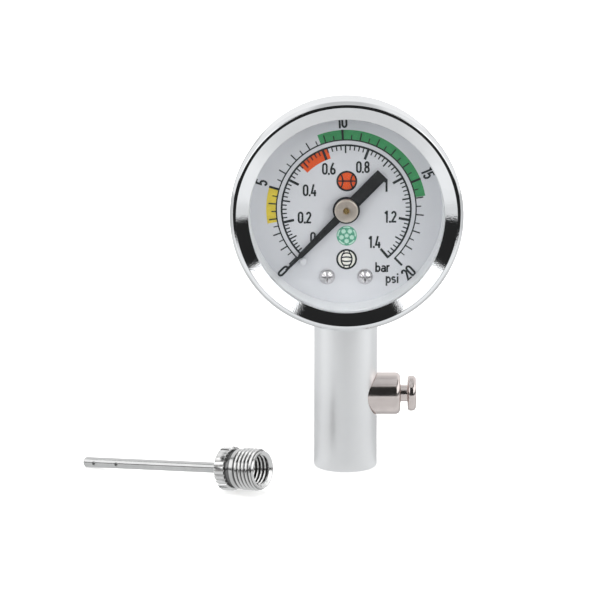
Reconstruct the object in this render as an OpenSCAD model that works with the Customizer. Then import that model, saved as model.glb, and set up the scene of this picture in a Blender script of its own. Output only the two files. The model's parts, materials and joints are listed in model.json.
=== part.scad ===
// Ball pressure gauge with a bleed button, and its loose inflation needle.
// Millimetres. X to the right, Y to the back, Z up. The dial faces -Y. The origin is the
// centre of the barrel's bottom face, on the axis of the threaded needle socket.

/* [Gauge head] */
// Height of the dial's centre above the barrel's bottom face
dial_z = 50.3; // [46:0.1:56]
// Outer radius of the bezel ring
bezel_r = 21.7; // [21:0.1:26]
// Sheet thickness of the bezel ring's skirt
bezel_wall = 0.7; // [0.5:0.1:1]
// Radius of the bezel ring's round outer edge
bezel_edge = 1.2; // [0.8:0.1:1.5]
// Inner radius of the bezel's lip, around the visible dial
lip_r = 18.2; // [17.5:0.1:19]
// How far in front of the barrel's axis the bezel's front edge stands
bezel_front = 12.2; // [11.5:0.1:14]
// Depth of the case behind the barrel's axis
case_back_depth = 7.5; // [7:0.1:9]
// Radius of the case's round rear corner
case_round = 7.5; // [4:0.1:7.5]
// Sheet thickness of the case
case_wall = 0.6; // [0.4:0.1:1]
// Thickness of the lens
lens_h = 1.5; // [1:0.1:2]

/* [Barrel] */
// Outer radius of the barrel
barrel_r = 6; // [5.5:0.1:7]
// Minor radius of the threaded needle socket in the barrel's bottom
socket_r = 3.5; // [3.4:0.05:3.6]
// Depth of the threaded needle socket
socket_depth = 7; // [5:0.5:8]
// Radius of the air bore in the barrel
air_r = 2.5; // [2:0.1:2.8]

/* [Bleed valve] */
// Height of the valve's axis above the barrel's bottom face
valve_z = 14.1; // [13:0.1:16]
// Outer radius of the valve housing
valve_r = 4; // [3.5:0.1:4.5]
// Distance from the barrel's axis to the housing's outer face
valve_face_x = 10.4; // [9.5:0.1:12]
// Travel of the button
valve_travel = 1.2; // [0.8:0.1:1.3]

/* [Gauge movement] */
// Angle of the pointer at zero, anticlockwise from the right
zero_angle = 225.5; // [223:0.5:227]
// Radius of the Bourdon tube's centre line
tube_line_r = 13.5; // [13:0.1:14]
// Angle that the pointer turns through over the whole scale
scale_sweep = 270; // [240:1:275]

/* [Needle] */
// Outer radius of the needle's shaft
shaft_r = 1; // [0.8:0.05:1.2]
// Length of the shaft, from its tip to the knurled grip
shaft_len = 32; // [25:1:40]
// Radius of the knurled grip
knurl_r = 4.1; // [4.1:0.1:4.5]
// Number of flutes in the knurled grip
flutes = 28; // [20:1:36]
// Crest radius of the outer thread (5/16 inch, 32 threads to the inch)
thread_r = 3.92; // [3.89:0.01:3.92]
// Where the needle's tip lies, to the left of the barrel's axis
tip_x = -49.7; // [-60:0.1:-40]
// Where the needle's tip lies, in front of the barrel's axis
tip_y = -1.2; // [-12:0.1:0]
// How far the needle turns from the X axis, seen from above
needle_yaw = -32; // [-40:0.1:-20]

/* [Hidden] */

$fn = 96;
eps = 0.01;

// Colours
chrome = [0.78, 0.79, 0.81];
nickel = [0.70, 0.67, 0.65];
brass = [0.78, 0.64, 0.35];
steel = [0.62, 0.63, 0.65];
black = [0.06, 0.06, 0.07];
white = [0.93, 0.94, 0.95];
clear = [0.85, 0.92, 0.95, 0.35];

// Depths in the gauge head, measured forward from the barrel's axis
case_r = bezel_r - bezel_wall;
case_in_r = case_r - case_wall;
lip_front = bezel_front - 1.2;
lens_front = lip_front - 0.5;
case_rim = lens_front - lens_h;
skirt_rear = 8.2;
dial_back = 2.2;
dial_front = 2.6;
spacer_r = 20.3;
plate_gap_back = -2.1;
plate_gap_front = 1.3;

// Barrel and stem
seal_h = 1;
seal_r = socket_r + 0.6;
stem_bottom = 20.5;
washer_h = 1;
stem_r = 3.5;
edge_round = 0.5;

// Valve, along X from the barrel's axis
seat_x = 3.3;
seat_wall = 0.9;
guide_r = 1.65;
neck_r = 1.6;
neck_in_x = 8.4;
rod_r = 0.8;
rod_end_x = 1.7;
head_r = 3.37;
head_x = valve_face_x + valve_travel + 0.2;
head_h = 1.6;
poppet_r = 1.85;
poppet_h = 0.7;

// Movement: the pinion turns about the dial's axis, the sector about A
ratio = 6;
sector_swing = scale_sweep / ratio;
gear_module = 0.25;
pinion_teeth = 10;
pinion_r = gear_module * pinion_teeth / 2;
sector_pitch_r = pinion_r * ratio;
tooth_up = 0.85 * gear_module;
tooth_down = 1.25 * gear_module;
centre_angle = 127;
centre_dist = sector_pitch_r + pinion_r;
sector_x = -centre_dist * cos(centre_angle);
sector_y = -centre_dist * sin(centre_angle);
sector_rest = centre_angle - sector_swing / 2;
tooth_step = 360 / (pinion_teeth * ratio);
tooth_phase = tooth_step / 4;
arbor_r = 0.5;
sector_arbor_r = 0.45;
run_gap = 0.04;
tail_len = 2.2;
tail_angle = -51.9;
tail_x = sector_x + tail_len * cos(tail_angle);
tail_y = sector_y + tail_len * sin(tail_angle);
link_len = 4.5;
link_angle = 60.6;
link_back = 0.35;
link_h = 0.3;
pin_r = 0.35;
tip_pin_x = 8.94;
tip_pin_y = -4.86;
tube_start = -20;
tube_sweep = 290;
tube_half = 1.1;
tube_back = -5;
tube_wall = 0.3;
block_top = -11.6;
block_neck_top = -9.3;
screw_spots = [[-3, 2.2], [3.2, 3], [-3, -10.4], [3, -10.4]];
dial_screw_x = 3.56;
dial_screw_y = -12.9;
stop_angle = 231;
stop_dist = 12.7;
hub_flange_r = 2.2;
pointer_back = 3.9;
pointer_h = 0.3;
hub_tube_r = 0.9;
spring_in_r = 1;
spring_out_r = 3;
spring_turns = 3;
spring_t = 0.08;
stud_angle = 210;

// Needle, along its own axis from the tip
knurl_h = 2.4;
groove_h = 0.8;
neck_h = 0.9;
thread_pitch = 0.794;
thread_turns = 5;
collar_chamfer = 0.5;
collar_len = knurl_h + groove_h + neck_h + thread_turns * thread_pitch + collar_chamfer;
mouth_r = 2.75;
mouth_depth = 6;
shaft_in = 1.4;
shoulder_h = 0.3;
shoulder_r = shaft_r + shoulder_h;
// The needle rests on its round tip and on the front edge of its grip
grip_span = sqrt(pow(shaft_len - shaft_r, 2) + pow(knurl_r, 2));
needle_pitch = acos(shaft_r / grip_span) - atan((shaft_len - shaft_r) / knurl_r);
tip_z = shaft_r * (1 - sin(needle_pitch));

// Places its children on the dial's axis: x right, y up, z forward
module gauge() {
    translate([0, 0, dial_z]) rotate([90, 0, 0]) children();
}

// Places its children on the valve's axis, with z pointing out of the barrel
module valve() {
    translate([0, 0, valve_z]) rotate([0, 90, 0]) children();
}

// Places its children on the needle's axis, with z pointing from the tip to the mouth
module needle() {
    translate([tip_x, tip_y, tip_z]) rotate([0, 90 - needle_pitch, needle_yaw]) children();
}

// A cylinder between two heights
module rod(r, z0, z1) {
    translate([0, 0, z0]) cylinder(r = r, h = z1 - z0);
}

// A tube between two heights
module tube(r_out, r_in, z0, z1) {
    difference() {
        rod(r_out, z0, z1);
        rod(r_in, z0 - 1, z1 + 1);
    }
}

// A solid of revolution's outline: a rectangle from the axis whose top outer corner is round
module round_top(r, z0, z1, corner) {
    translate([0, z0]) square([r, z1 - z0 - corner]);
    translate([0, z1 - corner - eps]) square([r - corner, corner + eps]);
    intersection() {
        translate([r - corner, z1 - corner]) circle(corner);
        translate([r - corner - eps, z1 - corner - eps]) square(2 * corner);
    }
}

// The case's outer form, or its hollow when it is inset by the sheet's thickness
module case_form(inset) {
    gauge() mirror([0, 0, 1]) rotate_extrude()
        round_top(case_r - inset, -case_rim - inset, case_back_depth - inset, case_round - inset);
}

// A plate with round corners
module round_plate(x0, y0, x1, y1, r, z0, z1) {
    translate([x0 + r, y0, z0]) cube([x1 - x0 - 2 * r, y1 - y0, z1 - z0]);
    translate([x0, y0 + r, z0]) cube([x1 - x0, y1 - y0 - 2 * r, z1 - z0]);
    for (x = [x0 + r, x1 - r], y = [y0 + r, y1 - r]) translate([x, y]) rod(r, z0, z1);
}

// A flat bar between two points, with round ends of its own width
module bar(p, q, w, z0, z1) {
    length = norm(q - p);
    angle = atan2(q.y - p.y, q.x - p.x);
    translate([p.x, p.y, z0]) rotate([0, 0, angle]) {
        translate([0, -w / 2]) cube([length, w, z1 - z0]);
        cylinder(r = w / 2, h = z1 - z0);
        translate([length, 0]) cylinder(r = w / 2, h = z1 - z0);
    }
}

// One gear tooth, pointing along x, on a gear of the given pitch radius
module tooth(pitch_r) {
    foot = 0.82 * gear_module;
    top = 0.3 * gear_module;
    root = pitch_r - tooth_down - 0.1;
    tip = pitch_r + tooth_up;
    polygon([[root, -foot], [tip, -top], [tip, top], [root, foot]]);
}

// The barrel's tube, its saddle under the case, its bores and the valve's seat
module barrel() {
    color(chrome) difference() {
        rotate_extrude() union() {
            translate([0, edge_round]) square([barrel_r, dial_z - case_r + case_round / 2]);
            square([barrel_r - edge_round, edge_round + eps]);
            translate([barrel_r - edge_round, edge_round]) circle(edge_round);
        }
        case_form(0);
        rod(socket_r, -1, socket_depth + eps);
        rod(seal_r, socket_depth, socket_depth + seal_h);
        rod(air_r, socket_depth, stem_bottom);
        rod(stem_r, stem_bottom - washer_h, dial_z);
        valve() rod(poppet_r + 0.35, 0, seat_x + 1);
        valve() rod(valve_r, seat_x, valve_face_x);
    }
}

// Rubber washer that the needle's collar is screwed against
module needle_seal() {
    color(black) tube(seal_r, 1.2, socket_depth, socket_depth + seal_h);
}

// Sealing washer under the socket block's stem
module stem_washer() {
    color(white) tube(stem_r, 1, stem_bottom - washer_h, stem_bottom);
}

// Guide of the bleed button, screwed into the barrel
module valve_housing() {
    color(nickel) valve() difference() {
        rotate_extrude() round_top(valve_r, seat_x, valve_face_x, 0.9);
        rod(1.1, 0, valve_face_x);
        rod(guide_r, seat_x + seat_wall, valve_face_x + 1);
    }
}

// Push button: a head, a neck that runs in the guide, and a rod through the seat
module valve_button() {
    color(nickel) valve() {
        rod(rod_r, rod_end_x, neck_in_x + eps);
        rod(neck_r, neck_in_x, head_x + eps);
        rotate_extrude() round_top(head_r, head_x, head_x + head_h, 0.5);
    }
}

// Coil spring between the seat wall and the button's neck
module valve_spring() {
    sides = 8;
    steps = 22;
    turns = 6;
    wire_r = 0.15;
    coil_r = 1.2;
    z0 = seat_x + seat_wall + wire_r;
    rise = neck_in_x - z0 - wire_r;
    count = turns * steps;
    points = [
        for (i = [0:count], j = [0:sides - 1])
            let (a = 360 * i / steps, b = 360 * j / sides, r = coil_r + wire_r * cos(b))
            [r * cos(a), r * sin(a), z0 + rise * i / count + wire_r * sin(b)]
    ];
    walls = [
        for (i = [0:count - 1], j = [0:sides - 1])
            let (a = i * sides, k = (j + 1) % sides)
            [a + j, a + sides + j, a + sides + k, a + k]
    ];
    ends = [
        [for (j = [0:sides - 1]) j],
        [for (j = [sides - 1:-1:0]) count * sides + j]
    ];
    color(steel) valve() polyhedron(points, concat(walls, ends), convexity = 10);
}

// Rubber disc that closes the seat from inside
module poppet_seal() {
    color(black) valve() tube(poppet_r, rod_r, seat_x - poppet_h, seat_x);
}

// Nut that holds the rubber disc on the rod
module poppet_nut() {
    color(brass) valve() difference() {
        translate([0, 0, rod_end_x + 0.2])
            cylinder(r = 1.3, h = seat_x - poppet_h - rod_end_x - 0.2, $fn = 6);
        rod(rod_r, 0, seat_x);
    }
}

// Brass block that carries the tube and the movement, with the stem into the barrel
module socket_block() {
    color(brass) difference() {
        union() {
            intersection() {
                gauge() translate([-6.5, -case_in_r - 1, -6.3])
                    cube([13, case_in_r + 1 + block_top, 6.3 + dial_back]);
                case_form(case_wall);
            }
            gauge() translate([-5, block_top - eps, plate_gap_back])
                cube([9.5, block_neck_top - block_top + eps, plate_gap_front - plate_gap_back]);
            rod(stem_r, stem_bottom, dial_z - 18);
        }
        gauge() rotate([0, 0, -90]) rotate_extrude(angle = -60) tube_outline(tube_half);
        gauge() rod(case_in_r, dial_back, bezel_front);
        rod(0.8, stem_bottom - 1, dial_z - tube_line_r + 0.8);
        gauge() for (x = [-dial_screw_x, dial_screw_x])
            translate([x, dial_screw_y]) rod(0.7, 0.6, dial_back + 1);
        gauge() for (p = [screw_spots[2], screw_spots[3]]) translate(p) {
            rod(pin_r, plate_gap_front - 0.6, plate_gap_front + 1);
            rod(pin_r, plate_gap_back - 1, plate_gap_back + 0.6);
        }
    }
}

// Drawn steel cup behind the dial
module case_cup() {
    color(chrome) difference() {
        case_form(0);
        case_form(case_wall);
        rod(stem_r, 0, dial_z - 10);
    }
}

// Spun ring over the case: a skirt, a round edge, and a funnel that slopes in to the lip
module bezel_ring() {
    edge = bezel_edge;
    color(chrome) gauge() rotate_extrude() {
        translate([case_r, skirt_rear]) square([bezel_wall, bezel_front - edge - skirt_rear]);
        polygon([
            [lip_r, lens_front], [case_r + eps, lens_front], [bezel_r, bezel_front - edge],
            [bezel_r - edge, bezel_front], [lip_r, lip_front]
        ]);
        intersection() {
            translate([bezel_r - edge, bezel_front - edge]) circle(edge);
            translate([bezel_r - edge - eps, bezel_front - edge - eps]) square(2 * edge);
        }
    }
}

// Clear lens between the case's rim and the bezel's lip
module lens() {
    color(clear) gauge() rod(case_r - 0.1, case_rim, lens_front);
}

// White ring that holds the dial plate down and the lens up
module spacer_ring() {
    color(white) gauge() tube(spacer_r, 18, dial_front, case_rim);
}

// Dial plate, with its holes for the arbor, two screws and the stop pin
module dial_plate() {
    color(white) gauge() difference() {
        rod(20.2, dial_back, dial_front);
        rod(1.2, 0, 5);
        for (x = [-dial_screw_x, dial_screw_x]) translate([x, dial_screw_y]) rod(0.7, 0, 5);
        rotate([0, 0, stop_angle]) translate([stop_dist, 0]) rod(0.4, 0, 5);
    }
}

// Two cross-slotted screws that hold the dial plate to the block
module dial_screws() {
    head = 1;
    color(steel) gauge() for (x = [-dial_screw_x, dial_screw_x])
        translate([x, dial_screw_y]) difference() {
            union() {
                rod(0.7, 0.6, dial_front + eps);
                rotate_extrude() round_top(1.5, dial_front, dial_front + head, 0.45);
            }
            for (a = [0, 90]) rotate([0, 0, a])
                translate([-0.8, -0.15, dial_front + head - 0.5]) cube([1.6, 0.3, 1]);
        }
}

// Pin that the pointer rests beside at zero
module stop_pin() {
    color(white) gauge() rotate([0, 0, stop_angle]) translate([stop_dist, 0]) {
        rod(0.4, dial_back, dial_front + eps);
        rotate_extrude() round_top(0.7, dial_front, 4.2, 0.2);
    }
}

// Black hand: a disc, a stepped blade and a square tail
module pointer() {
    color(black) gauge() translate([0, 0, pointer_back]) rotate([0, 0, zero_angle])
        linear_extrude(pointer_h) difference() {
            union() {
                circle(2.55);
                polygon([
                    [0, -0.8], [12.2, -0.5], [12.6, -0.3], [16.1, -0.22],
                    [16.1, 0.22], [12.6, 0.3], [12.2, 0.5], [0, 0.8]
                ]);
                translate([-9.55, -1.18]) square([9, 2.36]);
            }
            circle(hub_tube_r);
        }
}

// Bush that carries the hand on the arbor
module pointer_hub() {
    color(brass) gauge() difference() {
        union() {
            rod(hub_tube_r, 3.4, pointer_back + pointer_h + eps);
            rotate_extrude()
                round_top(hub_flange_r, pointer_back + pointer_h, pointer_back + pointer_h + 0.8, 0.25);
        }
        rod(arbor_r, 0, 6);
    }
}

// Arbor on the dial's axis, with the pinion cut on it
module pinion_arbor() {
    gap = centre_angle + 180 - tooth_phase * ratio;
    color(steel) gauge() {
        rod(arbor_r, -2.9, 5.1);
        translate([0, 0, -0.6]) linear_extrude(1.2) {
            circle(pinion_r - tooth_down);
            for (i = [0:pinion_teeth - 1]) rotate((i + 0.5) * 360 / pinion_teeth + gap)
                tooth(pinion_r);
        }
    }
}

// Flat spiral spring that takes up the play in the gears
module hairspring() {
    steps = 30;
    count = spring_turns * steps;
    r0 = spring_in_r;
    grow = (spring_out_r - spring_in_r) / count;
    start = stud_angle - spring_turns * 360;
    outline = [
        for (i = [0:count]) let (a = start + i * 360 / steps, r = r0 + grow * i)
            r * [cos(a), sin(a)],
        for (i = [count:-1:0]) let (a = start + i * 360 / steps, r = r0 + grow * i - spring_t)
            r * [cos(a), sin(a)]
    ];
    color(brass) gauge() translate([0, 0, 0.75]) linear_extrude(0.25) polygon(outline);
}

// Collar that holds the spring's inner end on the arbor
module hairspring_collet() {
    color(brass) gauge() tube(spring_in_r - spring_t - 0.02, arbor_r, 0.7, 1.05);
}

// Post that holds the spring's outer end under the front plate
module hairspring_stud() {
    stud_r = 0.25;
    color(brass) gauge() rotate([0, 0, stud_angle]) translate([spring_out_r + stud_r, 0])
        rod(stud_r, 0.6, plate_gap_front);
}

// Toothed sector with its tail arm
module sector_gear() {
    half = sector_swing / 2 + 16.5;
    teeth = floor(2 * half / tooth_step);
    first = centre_angle + tooth_phase - 10 * tooth_step;
    root_r = sector_pitch_r - tooth_down;
    rim = 1.3;
    color(brass) gauge() difference() {
        translate([sector_x, sector_y]) {
            rotate([0, 0, sector_rest - half]) translate([0, 0, -0.25])
                rotate_extrude(angle = 2 * half) translate([root_r - rim, 0]) square([rim, 0.5]);
            for (a = [sector_rest - half + 4, sector_rest + half - 4])
                bar([0, 0], (root_r - rim / 2) * [cos(a), sin(a)], 1, -0.25, 0.25);
            translate([0, 0, -0.25]) linear_extrude(0.5) for (i = [0:teeth - 1])
                rotate(first + i * tooth_step) tooth(sector_pitch_r);
            rod(1.4, -0.25, 0.25);
            bar([0, 0], tail_len * [cos(tail_angle), sin(tail_angle)], 1.3, -0.25, 0.25);
        }
        translate([sector_x, sector_y]) rod(sector_arbor_r, -1, 1);
        translate([tail_x, tail_y]) rod(pin_r, -1, 1);
    }
}

// Arbor that the sector turns on
module sector_arbor() {
    color(steel) gauge() translate([sector_x, sector_y]) rod(sector_arbor_r, -2.9, 2);
}

// Link between the sector's tail and the tube's tip
module link_bar() {
    end = link_len * [cos(link_angle), sin(link_angle)];
    color(brass) gauge() translate([tail_x, tail_y]) difference() {
        union() {
            bar([0, 0], end, 0.9, link_back, link_back + link_h);
            rod(0.75, link_back, link_back + link_h);
            translate(end) rod(1, link_back, link_back + link_h);
        }
        rod(pin_r + run_gap, 0, 2);
        translate(end) rod(0.6, 0, 2);
    }
}

// Pin through the sector's tail, that the link turns on
module link_pin() {
    color(steel) gauge() translate([tail_x, tail_y]) rod(pin_r, -0.25, 0.8);
}

// The flattened outline of the Bourdon tube's section
module tube_outline(half) {
    inset = tube_half - half;
    for (z = [tube_back + tube_half, -tube_half]) translate([tube_line_r, z]) circle(half);
    translate([tube_line_r - half, tube_back + tube_half])
        square([2 * half, -tube_back - 2 * tube_half]);
}

// Curved, flattened tube that straightens under pressure
module bourdon_tube() {
    color(brass) gauge() rotate([0, 0, tube_start]) rotate_extrude(angle = tube_sweep)
        difference() {
            tube_outline(tube_half);
            tube_outline(tube_half - tube_wall);
        }
}

// Plug that closes the tube's free end and carries the link's pin
module bourdon_tip() {
    arm = [[12.6, -5.6], [tip_pin_x, tip_pin_y]];
    color(brass) gauge() {
        rotate([0, 0, tube_start]) rotate_extrude(angle = -7)
            translate([tube_line_r - 1.3, tube_back - 0.2]) square([2.6, 0.4 - tube_back]);
        bar(arm[0], arm[1], 1.4, -1, 0.05);
        translate(arm[1]) rod(pin_r, -0.5, 0.85);
    }
}

// One plate of the movement, with its holes
module movement_plate(z0, z1) {
    difference() {
        round_plate(-4.3, block_top + 0.2, 7, 4.2, 0.8, z0, z1);
        rod(arbor_r + run_gap, z0 - 1, z1 + 1);
        translate([sector_x, sector_y]) rod(sector_arbor_r + run_gap, z0 - 1, z1 + 1);
        for (p = screw_spots) translate(p) rod(pin_r, z0 - 1, z1 + 1);
    }
}

// Rear plate of the movement
module movement_back_plate() {
    color(brass) gauge() movement_plate(plate_gap_back - 0.5, plate_gap_back);
}

// Front plate of the movement
module movement_front_plate() {
    color(brass) gauge() movement_plate(plate_gap_front, plate_gap_front + 0.4);
}

// Two pillars that keep the plates apart
module pillars() {
    color(brass) gauge() for (i = [0, 1]) translate(screw_spots[i]) difference() {
        rod(0.6, plate_gap_back, plate_gap_front);
        rod(pin_r, plate_gap_back - 1, plate_gap_back + 0.6);
        rod(pin_r, plate_gap_front - 0.6, plate_gap_front + 1);
    }
}

// Slotted screws that hold both plates to the pillars and to the block
module movement_screws() {
    head = 0.4;
    front = plate_gap_front + 0.4;
    back = plate_gap_back - 0.5;
    color(steel) gauge() for (p = screw_spots) translate(p) {
        difference() {
            union() {
                rod(pin_r, plate_gap_front - 0.6, front + eps);
                rod(0.8, front, front + head);
            }
            translate([-1, -0.12, front + 0.2]) cube([2, 0.24, 1]);
        }
        difference() {
            union() {
                rod(pin_r, back - eps, plate_gap_back + 0.6);
                rod(0.8, back - head, back);
            }
            translate([-1, -0.12, back - head - 0.8]) cube([2, 0.24, 1]);
        }
    }
}

// Needle's collar: knurled grip, groove, plain neck and outer thread, with a threaded mouth
module needle_collar() {
    root_r = thread_r - 0.45;
    neck_z = knurl_h + groove_h;
    thread_z = neck_z + neck_h;
    ridges = [
        for (i = [0:thread_turns - 1]) each [
            [root_r, thread_z + i * thread_pitch + 0.1],
            [thread_r, thread_z + (i + 0.4) * thread_pitch],
            [thread_r, thread_z + (i + 0.6) * thread_pitch],
            [root_r, thread_z + (i + 1) * thread_pitch - 0.1]
        ]
    ];
    color(chrome) needle() translate([0, 0, shaft_len]) difference() {
        union() {
            difference() {
                rod(knurl_r, 0, knurl_h);
                for (i = [0:flutes - 1]) rotate([0, 0, (i + 0.5) * 360 / flutes])
                    translate([knurl_r + 0.1, 0]) rod(0.3, -1, knurl_h + 1);
            }
            rod(3.4, knurl_h - eps, neck_z + eps);
            rod(3.7, neck_z, thread_z + eps);
            rotate_extrude() polygon(concat(
                [[0, thread_z], [root_r, thread_z]], ridges,
                [[root_r, collar_len], [0, collar_len]]
            ));
        }
        rod(shoulder_r, -1, collar_len);
        rod(mouth_r, collar_len - mouth_depth, collar_len + 1);
        translate([0, 0, collar_len - 0.5]) cylinder(r1 = mouth_r, r2 = 3.3, h = 0.5 + eps);
    }
}

// Needle's thin steel tube, with a round tip and two side holes
module needle_tube() {
    color(chrome) needle() difference() {
        union() {
            translate([0, 0, shaft_r]) sphere(shaft_r);
            rod(shaft_r, shaft_r, shaft_len);
            translate([0, 0, shaft_len - shoulder_h])
                cylinder(r1 = shaft_r, r2 = shoulder_r, h = shoulder_h);
            rod(shoulder_r, shaft_len - eps, shaft_len + shaft_in);
        }
        rod(0.55, 1.6, shaft_len + shaft_in + 1);
        for (z = [2.8, 8]) translate([0, 0, z]) rotate([90, 0, 0]) rod(0.35, 0, 2);
    }
}

barrel();
needle_seal();
stem_washer();
valve_housing();
valve_button();
valve_spring();
poppet_seal();
poppet_nut();
socket_block();
case_cup();
bezel_ring();
lens();
spacer_ring();
dial_plate();
dial_screws();
stop_pin();
pointer();
pointer_hub();
pinion_arbor();
hairspring();
hairspring_collet();
hairspring_stud();
sector_gear();
sector_arbor();
link_bar();
link_pin();
bourdon_tube();
bourdon_tip();
movement_back_plate();
movement_front_plate();
pillars();
movement_screws();
needle_collar();
needle_tube();
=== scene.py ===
"""Looks of the ball pressure gauge and its needle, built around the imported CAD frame.

Shapes are drawn in millimetres on the axis of their own group (gauge, valve, barrel or needle),
then placed in the frame, which is in metres.
"""

import json
import math

import bmesh
import bpy
import numpy as np
from mathutils import Matrix, Vector


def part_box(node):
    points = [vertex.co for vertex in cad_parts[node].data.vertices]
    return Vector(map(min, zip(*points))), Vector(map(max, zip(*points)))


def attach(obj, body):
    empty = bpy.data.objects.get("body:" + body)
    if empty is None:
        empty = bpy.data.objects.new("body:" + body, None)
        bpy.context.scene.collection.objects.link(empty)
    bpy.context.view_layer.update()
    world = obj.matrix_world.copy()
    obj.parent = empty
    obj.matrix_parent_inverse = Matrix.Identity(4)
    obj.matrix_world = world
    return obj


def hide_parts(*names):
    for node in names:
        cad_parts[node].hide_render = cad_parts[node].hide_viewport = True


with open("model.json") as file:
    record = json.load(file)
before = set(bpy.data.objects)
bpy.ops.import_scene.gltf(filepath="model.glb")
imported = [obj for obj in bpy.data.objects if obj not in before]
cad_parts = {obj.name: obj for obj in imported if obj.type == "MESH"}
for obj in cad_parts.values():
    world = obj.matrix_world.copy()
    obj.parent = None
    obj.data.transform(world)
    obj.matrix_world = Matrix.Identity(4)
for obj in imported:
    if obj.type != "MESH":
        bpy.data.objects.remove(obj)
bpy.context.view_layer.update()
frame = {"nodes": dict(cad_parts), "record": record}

MM = 0.001
TAU = 2 * math.pi
AROUND = 192

# ---------------------------------------------------------------- sizes from the frame


def depth_range(node):
    """A gauge node's rear and front, in millimetres forward of the barrel's axis."""
    low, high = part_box(node)
    return -high.y / MM, -low.y / MM


def half_width(node):
    """Half a node's width along X, in millimetres."""
    low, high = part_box(node)
    return (high.x - low.x) / 2 / MM


mounts = {m["name"]: m for m in frame["record"]["mounts"]}
dial_low, dial_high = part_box("dial_plate")
DIAL_Z = (dial_low.z + dial_high.z) / 2
valve_low, valve_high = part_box("valve_housing")
VALVE_Z = (valve_low.z + valve_high.z) / 2

needle_axis = Vector(mounts["needle_mouth"]["axis"]).normalized()
shaft_mount = mounts["needle_tip"]
SHAFT_R = shaft_mount["dims"]["r_mm"]
needle_tip = Vector(shaft_mount["pos_m"]) - needle_axis * MM * (
    shaft_mount["dims"]["length_mm"] / 2 + SHAFT_R
)

BEZEL_R = half_width("bezel_ring")
BEZEL_REAR, BEZEL_FRONT = depth_range("bezel_ring")
LENS_REAR, LENS_FRONT = depth_range("lens")
DIAL_REAR, DIAL_FRONT = depth_range("dial_plate")
DIAL_R = half_width("dial_plate")
CASE_REAR, CASE_FRONT = depth_range("case_cup")
CASE_R = half_width("case_cup")
SPACER_R = half_width("spacer_ring")
POINTER_REAR, POINTER_FRONT = depth_range("pointer")
HUB_REAR, HUB_FRONT = depth_range("pointer_hub")
BARREL_R = half_width("barrel")
SOCKET_R = mounts["needle_socket"]["dims"]["r_mm"]
SOCKET_DEPTH = mounts["needle_socket"]["dims"]["length_mm"]
THREAD_R = mounts["needle_thread"]["dims"]["r_mm"]
MOUTH_R = mounts["needle_mouth"]["dims"]["r_mm"]

# ---------------------------------------------------------------- places


def placement(x_axis, y_axis, z_axis, origin):
    """The matrix that puts local axes along these directions at this point."""
    columns = [Vector(x_axis), Vector(y_axis), Vector(z_axis)]
    rows = [[c[i] for c in columns] + [origin[i]] for i in range(3)]
    return Matrix(rows + [[0, 0, 0, 1]])


needle_side = Vector((0, 0, 1)).cross(needle_axis).normalized()
UPRIGHT = Matrix.Identity(4)
GAUGE = placement((1, 0, 0), (0, 0, 1), (0, -1, 0), (0, 0, DIAL_Z))
VALVE = placement((0, 0, -1), (0, 1, 0), (1, 0, 0), (0, 0, VALVE_Z))
NEEDLE = placement(needle_side.cross(needle_axis), needle_side, needle_axis, needle_tip)

# ---------------------------------------------------------------- mesh building


class Shape:
    """Collects the vertices (millimetres) and faces of one piece."""

    def __init__(self):
        self.verts = []
        self.faces = []

    def add(self, verts, faces):
        base = len(self.verts)
        self.verts.extend(tuple(v) for v in verts)
        self.faces.extend(tuple(base + i for i in f) for f in faces)


def rounded(corners, closed=True, steps=6):
    """A profile of (r, z, fillet) corners as points, with each corner rounded by its fillet."""
    points = []
    count = len(corners)
    for i, (r, z, fillet) in enumerate(corners):
        here = Vector((r, z))
        if fillet <= 0 or (not closed and i in (0, count - 1)):
            points.append((r, z))
            continue
        before = Vector(corners[i - 1][:2]) - here
        after = Vector(corners[(i + 1) % count][:2]) - here
        half = before.angle(after) / 2
        reach = min(fillet / math.tan(half), before.length * 0.49, after.length * 0.49)
        radius = reach * math.tan(half)
        middle = (before.normalized() + after.normalized()).normalized()
        centre = here + middle * (radius / math.sin(half))
        start = here + before.normalized() * reach - centre
        end = here + after.normalized() * reach - centre
        a0 = math.atan2(start.y, start.x)
        turn = math.atan2(end.y, end.x) - a0
        turn = (turn + math.pi) % TAU - math.pi
        for k in range(steps + 1):
            a = a0 + turn * k / steps
            points.append((centre.x + radius * math.cos(a), centre.y + radius * math.sin(a)))
    return points


def spin(shape, rows, around=AROUND, closed=True):
    """Adds a surface of revolution. A row is (r, z), or a function of the angle that gives it."""
    angles = [TAU * j / around for j in range(around)]
    starts = []
    for row in rows:
        starts.append(len(shape.verts))
        if not callable(row) and abs(row[0]) < 1e-9:
            shape.verts.append((0, 0, row[1]))
            continue
        for a in angles:
            r, z = row(a) if callable(row) else row
            shape.verts.append((r * math.cos(a), r * math.sin(a), z))
    ends = starts[1:] + [len(shape.verts)]
    sizes = [e - s for s, e in zip(starts, ends)]
    last = len(rows) if closed else len(rows) - 1
    for i in range(last):
        k = (i + 1) % len(rows)
        p, q = starts[i], starts[k]
        for j in range(around):
            n = (j + 1) % around
            if sizes[i] == 1 and sizes[k] == 1:
                continue
            if sizes[i] == 1:
                shape.faces.append((p, q + n, q + j))
            elif sizes[k] == 1:
                shape.faces.append((p + j, p + n, q))
            else:
                shape.faces.append((p + j, p + n, q + n, q + j))


def lathe(corners, around=AROUND, steps=6, closed=True):
    """A solid of revolution from a profile of (r, z, fillet) corners, outside first.

    A profile that isn't closed starts and ends on the axis.
    """
    shape = Shape()
    spin(shape, rounded(corners, closed, steps), around, closed)
    return shape


def prism(shape, outline, z0, z1):
    """Adds a solid with this 2-D outline between two heights."""
    n = len(outline)
    verts = [(x, y, z0) for x, y in outline] + [(x, y, z1) for x, y in outline]
    faces = [tuple(range(n - 1, -1, -1)), tuple(range(n, 2 * n))]
    faces += [(i, (i + 1) % n, n + (i + 1) % n, n + i) for i in range(n)]
    shape.add(verts, faces)


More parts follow.
